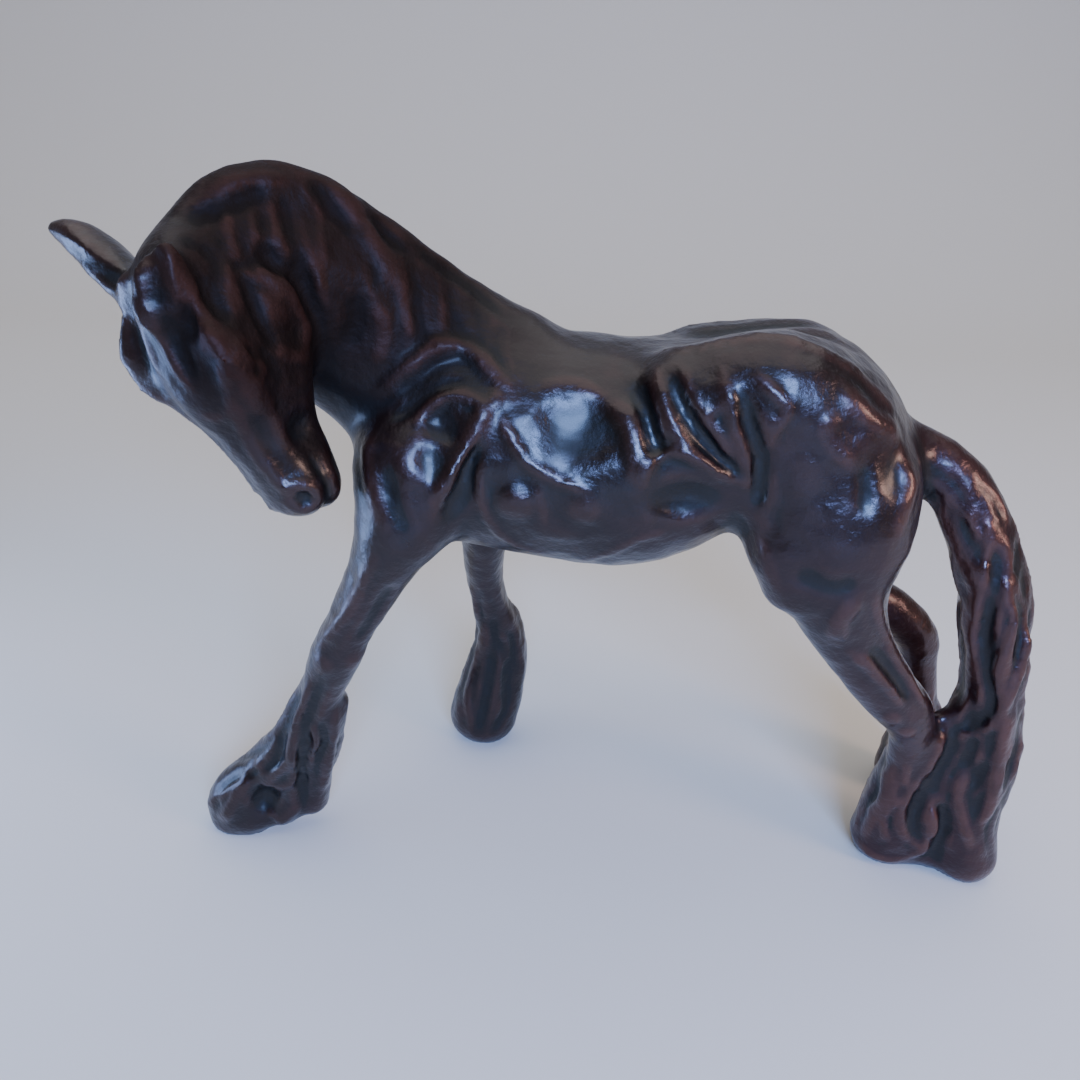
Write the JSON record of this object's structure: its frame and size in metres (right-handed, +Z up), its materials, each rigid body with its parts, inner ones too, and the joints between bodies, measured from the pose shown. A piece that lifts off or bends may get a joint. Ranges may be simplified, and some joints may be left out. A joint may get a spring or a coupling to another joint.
{
  "type": "bronze horse sculpture",
  "caption": "Small cast bronze of a heavy horse with an arched neck and turned head, feathered feet and a long tail that reaches the ground.",
  "frame": {"origin": "on the ground, at the bottom centre of the horse's bounding box", "axes": "+X along the horse from head to tail, -Y towards its left side, +Z up"},
  "size_m": [0.194, 0.0776, 0.1516],
  "materials": {
    "horse": "dark brown waxed bronze patina with a soft gloss"
  },
  "bodies": {
    "root": {"horse": "horse"}
  },
  "joints": []
}
